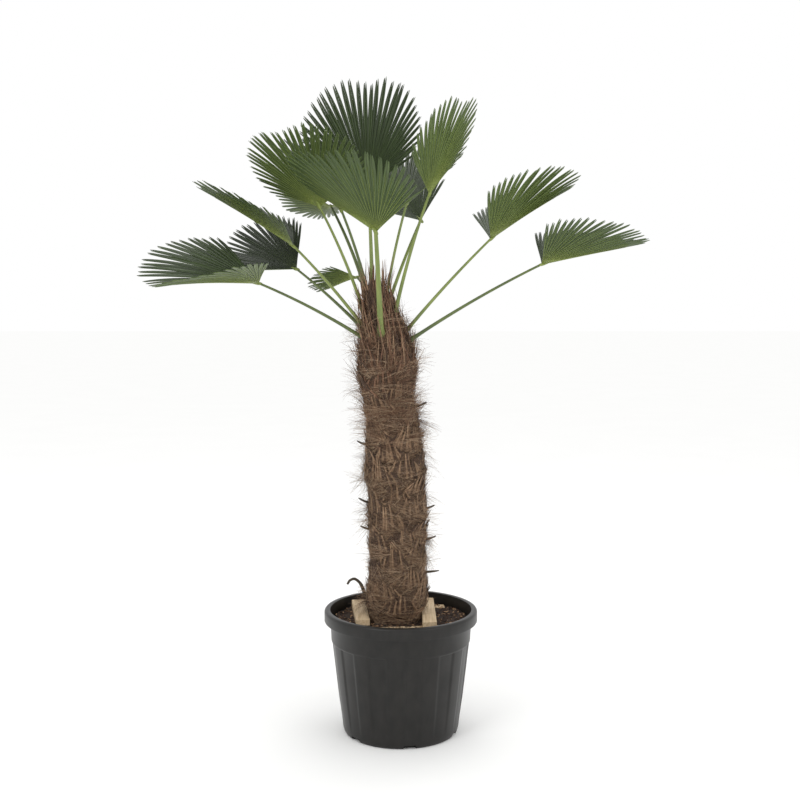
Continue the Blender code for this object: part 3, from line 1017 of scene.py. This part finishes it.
@dataclass
class Trunk:
    """The trunk's bark, its sheath mats, its loose fibre and its sheath ends."""
    palette: Palette
    rng: np.random.Generator
    # Bark: depth, turns round the trunk and climb of each spiral of leaf bases
    bark_waves: tuple[Triple, ...] = ((0.0022, 5, -26), (0.0016, 8, 41))
    # Bark: depth, turns, sway and its pace up the trunk of the fine clefts
    bark_clefts: tuple[float, float, float, float] = (0.0012, 23, 90, 9)
    bark_grit: float = 0.0006
    bark_depth: float = 0.005
    bark_full_radius: float = 0.05
    bark_rings: int = 240
    bark_sides: int = 96
    bark_start: float = 0.0005
    # Mats: one at each leaf base, a golden angle on from the last
    bases: int = 92
    base_turn: float = 137.5
    bottom: float = 0.385
    top: float = 1.36
    strips: int = 16
    strip_stations: int = 7
    mat_half_angle: tuple[float, float] = (38, 62)
    mat_height: tuple[float, float] = (0.07, 0.11)
    mat_shoulder: float = 0.45
    shoulder_curve: float = 1.5
    mat_tear: float = 0.28
    mat_narrowing: float = 0.45
    strip_sway: float = 0.01
    mat_gap: float = 0.002
    mat_flare: float = 0.016
    flare_spread: tuple[float, float] = (0.3, 1.0)
    flare_full_radius: float = 0.07
    least_flare: float = 0.35
    strip_radius: float = 0.0065
    strip_taper: float = 0.75
    strip_tip: float = 0.0004
    strip_sides: int = 4
    strip_flat: float = 0.12
    # Mats above this share of the height are the fresher ones
    fresh_from: float = 0.72
    # Sheath ends
    ends: int = 460
    end_stations: int = 9
    end_roots: tuple[float, float] = (1.18, 1.43)
    end_length: tuple[float, float] = (0.05, 0.15)
    end_stand: tuple[float, float] = (0.004, 0.052)
    end_sway: float = 0.12
    end_radius: tuple[float, float] = (0.0022, 0.0052)
    end_tip: float = 0.0003
    end_curve: float = 1.5
    end_taper: float = 0.7
    end_sides: int = 4
    end_flat: float = 0.3
    fibres: tuple[Fibre, ...] = (
        Fibre(
            "fibre_wrap_low", 4200, roots=(0.38, 0.80), length=(0.04, 0.11), stand=(0.0, 0.012),
            radius=0.0007, climb=(0.15, 0.35), mix=BROWNS,
        ),
        Fibre(
            "fibre_wrap_middle", 4200, roots=(0.78, 1.18), length=(0.04, 0.11), stand=(0.0, 0.012),
            radius=0.0007, climb=(0.30, 0.35), mix=BROWNS,
        ),
        Fibre(
            "fibre_wrap_high", 3400, roots=(1.14, 1.42), length=(0.04, 0.12), stand=(0.0, 0.014),
            radius=0.0008, climb=(0.70, 0.25), mix=REDS,
        ),
        Fibre(
            "fibre_hair_low", 3400, roots=(0.40, 1.02), length=(0.04, 0.11), stand=(0.012, 0.070),
            radius=0.0006, climb=(0.05, 0.45), mix=BROWNS, tufts=120,
        ),
        Fibre(
            "fibre_hair_high", 3400, roots=(0.95, 1.38), length=(0.04, 0.12), stand=(0.014, 0.078),
            radius=0.0007, climb=(0.45, 0.40), mix=REDS, tufts=110,
        ),
    )

    def make_bark(self) -> None:
        """Build the bark beneath the fibre, with the relief of old leaf bases."""
        heights = np.linspace(LINE.rings[0][0] + self.bark_start, LINE.rings[-1][0], self.bark_rings)
        angles = math.tau * np.arange(self.bark_sides) / self.bark_sides
        grid_h, grid_a = np.meshgrid(heights, angles, indexing="ij")
        relief = np.zeros_like(grid_h)
        for depth, turns, climb in self.bark_waves:
            relief += depth * np.sin(turns * grid_a + climb * grid_h)
        depth, turns, sway, pace = self.bark_clefts
        relief += depth * np.sin(turns * grid_a + sway * np.sin(pace * grid_h))
        relief += self.rng.normal(0, self.bark_grit, relief.shape)
        taper = np.clip(LINE.radius(grid_h) / self.bark_full_radius, 0, 1)
        points = LINE.at(grid_a, grid_h, -self.bark_depth * taper + relief * taper)
        pile = Pile(self.palette, (Stuff.BARK,))
        pile.add_tubes(points[None], Stuff.BARK)
        settle(pile.build("trunk_bark"), "trunk_fibre", "trunk")

    def add_mat(self, pile: Pile, index: int) -> None:
        """Add one leaf base's ragged mat to a pile.

        Args:
            pile: The pile that the mat joins.
            index: The leaf base's number, from the soil up.
        """
        rng = self.rng
        share = index / (self.bases - 1)
        height = self.bottom + (self.top - self.bottom) * share
        middle = math.radians(self.base_turn) * index
        wide = math.radians(rng.uniform(*self.mat_half_angle))
        tall = rng.uniform(*self.mat_height)
        across = np.linspace(-1, 1, self.strips)
        up = np.linspace(0, 1, self.strip_stations)[None]
        strip = (self.strips, 1)
        shoulder = self.mat_shoulder * np.abs(across) ** self.shoulder_curve
        tears = 1.0 - shoulder - rng.uniform(0, self.mat_tear, self.strips)
        fanned = across[:, None] * wide * (1.0 - self.mat_narrowing * up)
        angles = middle + fanned + rng.normal(0, self.strip_sway, strip)
        heights = height + tall * tears[:, None] * up
        flare = self.mat_gap + self.mat_flare * up ** 2 * rng.uniform(*self.flare_spread, strip)
        hold = np.clip(LINE.radius(heights) / self.flare_full_radius, self.least_flare, 1)
        points = LINE.at(angles, heights, flare * hold)
        radii = self.strip_radius * (1.0 - self.strip_taper * up) + self.strip_tip
        radii = np.broadcast_to(radii, heights.shape)
        tone = Stuff.FIBRE_RED if share > self.fresh_from else Stuff.FIBRE_MID
        picks = [(tone, Stuff.FIBRE_DARK)[pick] for pick in rng.integers(0, 2, self.strips)]
        sections = tube_sections(points, radii, level(angles), self.strip_sides, self.strip_flat)
        pile.add_tubes(sections, picks)

    def make_mats(self) -> None:
        """Build the sheath mats that wrap the trunk in a spiral."""
        pile = Pile(self.palette, (Stuff.FIBRE_DARK, Stuff.FIBRE_MID, Stuff.FIBRE_RED))
        for index in range(self.bases):
            self.add_mat(pile, index)
        settle(pile.build("sheath_mats", smooth=False), "trunk_fibre")

    def make_fibre(self) -> None:
        """Build the fibre, a piece for each kind and stretch."""
        for fibre in self.fibres:
            pile = Pile(self.palette, sorted(set(fibre.mix), key=lambda stuff: stuff.value))
            picks = [fibre.mix[pick] for pick in self.rng.integers(0, len(fibre.mix), fibre.count)]
            pile.add_tubes(fibre.sections(self.rng), picks)
            settle(pile.build(fibre.name, smooth=False), "trunk_fibre")

    def make_ends(self) -> None:
        """Build the pointed sheath ends that stand up round the stalks."""
        rng = self.rng
        each = (self.ends, 1)
        share = np.linspace(0, 1, self.end_stations)[None]
        angles = rng.uniform(0, math.tau, each)
        roots = rng.uniform(*self.end_roots, each)
        heights = roots + rng.uniform(*self.end_length, each) * share
        out = rng.uniform(*self.end_stand, each) * share ** self.end_curve
        base = np.minimum(heights, LINE.last_full)
        hold = LINE.radius(roots) * (1 - share) + LINE.radius(base) * share
        swayed = angles + rng.normal(0, self.end_sway, each) * share
        points = LINE.at(swayed, base, out + hold - LINE.radius(base))
        points[..., 2] = heights
        radii = rng.uniform(*self.end_radius, each) * (1 - share) ** self.end_taper + self.end_tip
        mix = (Stuff.FIBRE_RED, Stuff.FIBRE_DARK, Stuff.FIBRE_MID)
        pile = Pile(self.palette, mix)
        picks = [mix[pick] for pick in rng.integers(0, len(mix), self.ends)]
        pile.add_tubes(tube_sections(points, radii, level(angles), self.end_sides, self.end_flat), picks)
        settle(pile.build("sheath_spikes", smooth=False), "trunk_fibre")

    def make(self) -> None:
        """Build every part of the trunk."""
        self.make_bark()
        self.make_mats()
        self.make_fibre()
        self.make_ends()


@dataclass
class OldStalks:
    """The stubs of cut fronds and the hooked stalk at the trunk's foot."""
    palette: Palette
    rng: np.random.Generator
    # Azimuth, height, reach and rise of each stub
    stubs: tuple[tuple[float, float, float, float], ...] = (
        (178, 0.955, 0.030, 0.012),
        (186, 0.765, 0.034, 0.016),
        (172, 0.672, 0.032, 0.010),
        (-4, 1.080, 0.040, 0.016),
        (8, 0.742, 0.028, 0.010),
        (-6, 0.643, 0.034, 0.012),
        (4, 0.530, 0.046, 0.004),
    )
    # Share of the reach and the radius there
    stub_taper: tuple[tuple[float, float], ...] = ((-0.35, 0.011), (0, 0.0085), (0.9, 0.0048), (1.0, 0.0036))
    stub_past_fibre: float = 0.003
    stub_curve: float = 1.6
    stub_stations: int = 9
    stub_sides: int = 8
    stub_flat: float = 0.55
    stub_wear: tuple[float, float] = (0.9, 1.1)
    hook_height: float = 0.440
    hook_stand_off: float = 0.0074
    # Reach from the trunk and rise of the hook's bends
    hook_route: tuple[tuple[float, float], ...] = (
        (0.000, 0.000), (0.006, 0.030), (0.018, 0.056), (0.036, 0.070), (0.052, 0.064), (0.060, 0.050))
    hook_stations: int = 28
    hook_smoothings: int = 3
    hook_radii: tuple[float, float] = (0.0062, 0.0036)
    hook_sides: int = 10
    hook_flat: float = 0.7
    hook_wear: tuple[float, float] = (0.94, 1.06)

    def make_stubs(self) -> None:
        """Build the stubs as one piece."""
        pile = Pile(self.palette, (Stuff.OLD_STALK,))
        starts, widths = zip(*self.stub_taper)
        for azimuth, height, reach, rise in self.stubs:
            out = heading(azimuth)
            foot = LINE.at(math.radians(azimuth), np.array(height), 0.0)
            share = np.linspace(starts[0], 1, self.stub_stations)[:, None]
            climb = UP * rise * np.abs(share) ** self.stub_curve
            line = foot + out * (reach + self.stub_past_fibre) * share + climb
            radii = np.interp(share[:, 0], starts, widths)
            radii = radii * self.rng.uniform(*self.stub_wear, self.stub_stations)
            sections = tube_sections(line[None], radii[None], UP, self.stub_sides, self.stub_flat)
            pile.add_tubes(sections, Stuff.OLD_STALK)
        nodes = [f"stub_{number:02d}" for number in range(1, len(self.stubs) + 1)]
        settle(pile.build("old_stubs"), "old_stalk", *nodes)

    def make_hook(self) -> None:
        """Build the hooked stalk, its bends rounded."""
        pile = Pile(self.palette, (Stuff.OLD_STALK,))
        foot = LINE.at(math.pi, np.array(self.hook_height), self.hook_stand_off)
        knots = np.arange(len(self.hook_route))
        share = np.linspace(0, knots[-1], self.hook_stations)
        reach, rise = [np.interp(share, knots, bends) for bends in zip(*self.hook_route)]
        for _ in range(self.hook_smoothings):
            reach[1:-1] = (reach[:-2] + 2 * reach[1:-1] + reach[2:]) / 4
            rise[1:-1] = (rise[:-2] + 2 * rise[1:-1] + rise[2:]) / 4
        line = foot + np.stack([-reach, 0 * reach, rise], -1)
        wear = self.rng.uniform(*self.hook_wear, self.hook_stations)
        radii = np.linspace(*self.hook_radii, self.hook_stations) * wear
        across = np.array([0.0, 1.0, 0.0])
        sections = tube_sections(line[None], radii[None], across, self.hook_sides, self.hook_flat)
        pile.add_tubes(sections, Stuff.OLD_STALK)
        settle(pile.build("old_hook"), "old_stalk", "stub_hook")

    def make(self) -> None:
        """Build the stubs and the hook."""
        self.make_stubs()
        self.make_hook()


@dataclass
class Pot:
    """The moulded pot, with recessed flutes and drain notches."""
    palette: Palette
    height: float = 0.410
    rim_radius: float = 0.2525
    collar_height: float = 0.039
    neck_radius: float = 0.2325
    band_bottom: float = 0.305
    flute_top_radius: float = 0.2270
    foot_radius: float = 0.190
    wall: float = 0.005
    floor: float = 0.006
    # The floor's shell closes round a pinhole of this radius
    pinhole: float = 0.002
    flutes: int = 12
    flute_depth: float = 0.0028
    flute_turn: float = 10.5
    flute_edge: float = 7.0
    drains: int = 6
    drain_depth: float = 0.034
    drain_width: float = 0.040
    drain_height: float = 0.012
    drain_turn: float = 9.0
    steps: int = 360
    sharp_from: float = 42.0

    def profile(self) -> tuple[Triple, ...]:
        """Draw the wall, down its outside and up its inside.

        Returns:
            Radius, height and share of the flutes' depth at each point.
        """
        rim, neck, flute, foot = self.rim_radius, self.neck_radius, self.flute_top_radius, self.foot_radius
        top, band = self.height, self.band_bottom
        low = top - self.collar_height
        return (
            # Rim and collar
            (rim - 0.0190, top - 0.001, 0),
            (rim - 0.0160, top, 0),
            (rim - 0.0070, top, 0),
            (rim - 0.0030, top - 0.0014, 0),
            (rim - 0.0006, top - 0.0050, 0),
            (rim, top - 0.0090, 0),
            (rim, low + 0.0030, 0),
            (rim - 0.0012, low + 0.0006, 0),
            (rim - 0.0040, low, 0),
            # Neck and band
            (neck + 0.0080, low, 0),
            (neck + 0.0020, low - 0.0020, 0),
            (neck, low - 0.0060, 0),
            (flute + 0.0030, band + 0.0070, 0),
            (flute + 0.0026, band + 0.0030, 0),
            (flute + 0.0006, band, 0.2),
            # Flutes, which fade out above the foot
            (flute - 0.0001, band - 0.0040, 1),
            (flute - 0.0100, 0.215, 1),
            (flute - 0.0210, 0.120, 0.9),
            (foot + 0.0060, 0.050, 0.5),
            (foot + 0.0036, 0.030, 0.1),
            # Foot and underside
            (foot + 0.0028, 0.022, 0),
            (foot + 0.0010, 0.0130, 0),
            (foot - 0.0010, 0.0060, 0),
            (foot - 0.0040, 0.0014, 0),
            (foot - 0.0080, 0.0, 0),
            (self.pinhole, 0.0, 0),
            # Inside
            (self.pinhole, self.floor, 0),
            (foot - 0.0110, self.floor, 0),
            (foot - 0.0020, 0.022, 0),
            (flute - self.wall, band, 0),
            (neck - self.wall, low - 0.004, 0),
            (rim - 0.0190, top - 0.006, 0),
        )

    def shell(self) -> bpy.types.Object:
        """Turn the profile round the axis.

        Returns:
            The pot before its notches are cut.
        """
        profile = np.array(self.profile())
        angles = math.tau * np.arange(self.steps) / self.steps
        phase = (angles + math.pi / 2 - math.radians(self.flute_turn)) * self.flutes
        panel = 0.5 + 0.5 * np.tanh(self.flute_edge * np.cos(phase))
        reach = profile[:, 0][None] - self.flute_depth * panel[:, None] * profile[:, 2][None]
        east, north = reach * np.cos(angles)[:, None], reach * np.sin(angles)[:, None]
        outlines = np.stack([east, north, np.broadcast_to(profile[:, 1], reach.shape)], -1)
        bm = bmesh.new()
        verts = [[bm.verts.new(point) for point in outline] for outline in outlines]
        count = len(profile)
        for index in range(self.steps):
            here, there = verts[index], verts[(index + 1) % self.steps]
            for row in range(count):
                after = (row + 1) % count
                bm.faces.new((here[row], here[after], there[after], there[row]))
        bmesh.ops.recalc_face_normals(bm, faces=bm.faces)
        mesh = bpy.data.meshes.new("nursery_pot")
        bm.to_mesh(mesh)
        bm.free()
        return placed("nursery_pot", mesh)

    def notch_blocks(self) -> bpy.types.Object:
        """Stand a block at each drain notch.

        Returns:
            The blocks, as one object.
        """
        bm = bmesh.new()
        size = Matrix.Diagonal((self.drain_depth, self.drain_width, 2 * self.drain_height, 1.0))
        for index in range(self.drains):
            angle = -math.pi / 2 + math.radians(self.drain_turn) + math.tau * index / self.drains
            place = Matrix.Rotation(angle, 4, "Z") @ Matrix.Translation((self.foot_radius, 0.0, 0.0))
            bmesh.ops.create_cube(bm, size=1.0, matrix=place @ size)
        mesh = bpy.data.meshes.new("notch_blocks")
        bm.to_mesh(mesh)
        bm.free()
        return placed("notch_blocks", mesh)

    def make(self) -> None:
        """Build the pot."""
        pot = self.shell()
        blocks = self.notch_blocks()
        cut = pot.modifiers.new("Drains", "BOOLEAN")
        cut.operation = "DIFFERENCE"
        cut.solver = "EXACT"
        cut.object = blocks
        graph = bpy.context.evaluated_depsgraph_get()
        finished = bpy.data.meshes.new_from_object(pot.evaluated_get(graph))
        pot.modifiers.remove(cut)
        pot.data = finished
        bpy.data.objects.remove(blocks, do_unlink=True)
        finished.materials.clear()
        finished.materials.append(self.palette.get(Stuff.POT))
        finished.shade_smooth()
        finished.set_sharp_from_angle(angle=math.radians(self.sharp_from))
        settle(pot, "pot_plastic", "pot")


@dataclass
class Soil:
    """The soil's crumbly top, its loose chips, and the battens in it."""
    palette: Palette
    rng: np.random.Generator
    bed_radii: tuple[float, float] = (0.004, 0.2255)
    bed_rings: int = 46
    bed_steps: int = 150
    bed_depth: float = 0.03
    bed_narrowing: float = 0.995
    bed_lift: float = 0.0015
    # Mounds 12 to 13 cm from crest to crest, bent so that they don't line up:
    # the pace of the crests, their bend and the bend's pace, each way
    mound: float = 0.0016
    mounds_east: Triple = (47, 3, 31)
    mounds_north: Triple = (53, 2, 39)
    crumb: float = 0.0012
    # The bed falls away towards the wall
    edge_fall: float = 0.004
    edge_from: float = 0.205
    edge_width: float = 0.02
    chips: int = 2600
    chip_reach: float = 0.219
    # Chips keep off this inner share of the bed, where the trunk stands
    chip_inner: float = 0.12
    chip_lift: float = 0.004
    chip_size: tuple[float, float] = (0.0015, 0.008)
    chip_width: tuple[float, float] = (0.25, 0.6)
    chip_form: tuple[float, ...] = (0.45, 1.0, 0.9, 0.35)
    chip_sides: int = 5
    chip_flat: float = 0.45
    chip_mix: tuple[Stuff, ...] = (Stuff.CHIP, Stuff.PEAT, Stuff.CHIP, Stuff.PEAT, Stuff.CHIP_PALE)
    battens: tuple[str, ...] = ("batten_front", "batten_back", "batten_left", "batten_right")

    def make_bed(self) -> None:
        """Build the closed bed of peat with an uneven top."""
        radii = np.linspace(*self.bed_radii, self.bed_rings)
        angles = math.tau * np.arange(self.bed_steps) / self.bed_steps
        grid_r, grid_a = np.meshgrid(radii, angles, indexing="ij")
        x, y = grid_r * np.cos(grid_a), grid_r * np.sin(grid_a)
        pace, bend, bend_pace = self.mounds_east
        east = np.sin(pace * x + bend * np.sin(bend_pace * y))
        pace, bend, bend_pace = self.mounds_north
        north = np.sin(pace * y + bend * np.sin(bend_pace * x))
        bumps = self.mound * east * north
        bumps += self.rng.normal(0, self.crumb, bumps.shape)
        fall = self.edge_fall * np.clip((grid_r - self.edge_from) / self.edge_width, 0, 1)
        top = np.stack([x, y, SOIL_TOP + self.bed_lift + bumps - fall], -1)
        low = np.stack([x[::-1], y[::-1], np.full_like(x, SOIL_TOP - self.bed_depth)], -1)
        low[..., :2] *= self.bed_narrowing
        pile = Pile(self.palette, (Stuff.PEAT,))
        pile.add_ring(np.concatenate([top, low]).transpose(1, 0, 2), Stuff.PEAT)
        settle(pile.build("peat_bed"), "soil", "soil")

    def make_chips(self) -> None:
        """Build the loose chips and crumbs on the bed."""
        rng, count = self.rng, self.chips
        radius = self.chip_reach * np.sqrt(rng.uniform(self.chip_inner, 1, count))
        angle = rng.uniform(0, math.tau, count)
        height = SOIL_TOP + rng.uniform(0, self.chip_lift, count)
        centre = np.stack([radius * np.cos(angle), radius * np.sin(angle), height], -1)
        # Chips lie nearly flat, so their direction has little rise
        direction = unit(np.stack([rng.normal(0, spread, count) for spread in (1, 1, 0.3)], -1))
        size = rng.uniform(*self.chip_size, count)
        form = np.array(self.chip_form)
        share = np.linspace(-1, 1, len(form))
        line = centre[:, None] + direction[:, None] * (size[:, None] * share)[..., None]
        radii = (size * rng.uniform(*self.chip_width, count))[:, None] * form[None]
        pile = Pile(self.palette, (Stuff.CHIP, Stuff.CHIP_PALE, Stuff.PEAT))
        picks = [self.chip_mix[pick] for pick in rng.integers(0, len(self.chip_mix), count)]
        pile.add_tubes(tube_sections(line, radii, UP, self.chip_sides, self.chip_flat), picks)
        settle(pile.build("soil_chips", smooth=False), "soil")

    def finish_battens(self, frame: dict) -> None:
        """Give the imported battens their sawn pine.
        """
        for name in self.battens:
            for spot in frame["nodes"][name].material_slots:
                spot.material = self.palette.get(Stuff.PINE)

    def make(self, frame: dict) -> None:
        """Build the bed and the chips, and finish the battens.
        """
        self.make_bed()
        self.make_chips()
        self.finish_battens(frame)


@dataclass(frozen=True)
class SoftLight:
    """A square light that faces a point."""
    name: str
    place: Triple
    target: Triple
    size: float
    power: float

    def make(self) -> None:
        """Hang the light."""
        data = bpy.data.lights.new(self.name, "AREA")
        data.size = self.size
        data.energy = self.power
        lamp = placed(self.name, data)
        way = np.array(self.target) - np.array(self.place)
        yaw = math.atan2(way[1], way[0]) - math.pi / 2
        pitch = math.atan2(way[2], math.hypot(way[0], way[1]))
        lamp.location = self.place
        lamp.rotation_euler = (math.pi / 2 + pitch, 0.0, yaw)


@dataclass
class Studio:
    """Floor, lights and camera."""
    palette: Palette
    floor_reach: float = 40.0
    # The floor lies this far under the pot, so that the two don't flicker
    floor_gap: float = 0.0005
    backdrop: Colour = (1.0, 1.0, 1.0, 1.0)
    backdrop_strength: float = 1.0
    lights: tuple[SoftLight, ...] = (
        SoftLight("key_light", (-2.6, -3.4, 3.6), (0.0, 0.0, 1.2), 1.8, 48.0),
        SoftLight("fill_light", (3.2, -2.6, 2.4), (0.0, 0.0, 1.1), 2.4, 22.0),
        SoftLight("top_light", (0.3, 1.2, 4.4), (0.0, 0.0, 1.5), 2.2, 26.0),
    )
    camera_place: Triple = (-0.0026, -3.87, 1.454)
    camera_pitch: float = 5.2
    sensor_mm: float = 36.0
    lens_mm: float = 53.64

    def make_floor(self) -> None:
        """Lay the floor."""
        mesh = bpy.data.meshes.new("studio_floor")
        reach = self.floor_reach
        corners = [(-reach, -reach, 0), (reach, -reach, 0), (reach, reach, 0), (-reach, reach, 0)]
        mesh.from_pydata(corners, [], [(0, 1, 2, 3)])
        mesh.materials.append(self.palette.get(Stuff.FLOOR))
        floor = placed("studio_floor", mesh)
        floor.location = (0.0, 0.0, -self.floor_gap)

    def make_world(self) -> None:
        """Make the plain white surroundings."""
        world = bpy.data.worlds.new("studio")
        world.use_nodes = True
        backdrop = world.node_tree.nodes["Background"]
        backdrop.inputs["Color"].default_value = self.backdrop
        backdrop.inputs["Strength"].default_value = self.backdrop_strength
        bpy.context.scene.world = world

    def make_camera(self) -> None:
        """Stand the camera at the photograph's viewing angle."""
        data = bpy.data.cameras.new("camera")
        data.sensor_width = self.sensor_mm
        data.lens = self.lens_mm
        camera = placed("camera", data)
        camera.location = self.camera_place
        camera.rotation_euler = (math.radians(90 - self.camera_pitch), 0.0, 0.0)
        bpy.context.scene.camera = camera

    def make(self) -> None:
        """Build the studio."""
        self.make_floor()
        self.make_world()
        for light in self.lights:
            light.make()
        self.make_camera()
        bpy.context.scene.view_settings.view_transform = "Standard"


def main() -> None:
    """Build the looks of the whole plant."""
    logging.basicConfig(level=logging.INFO, format="%(message)s")
    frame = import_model()
    palette = Palette()
    Studio(palette).make()
    Pot(palette).make()
    Soil(palette, np.random.default_rng(SEED)).make(frame)
    Trunk(palette, np.random.default_rng(SEED + 1)).make()
    OldStalks(palette, np.random.default_rng(SEED + 2)).make()
    Crown(palette, np.random.default_rng(SEED + 3)).make()


if __name__ == "__main__":
    main()
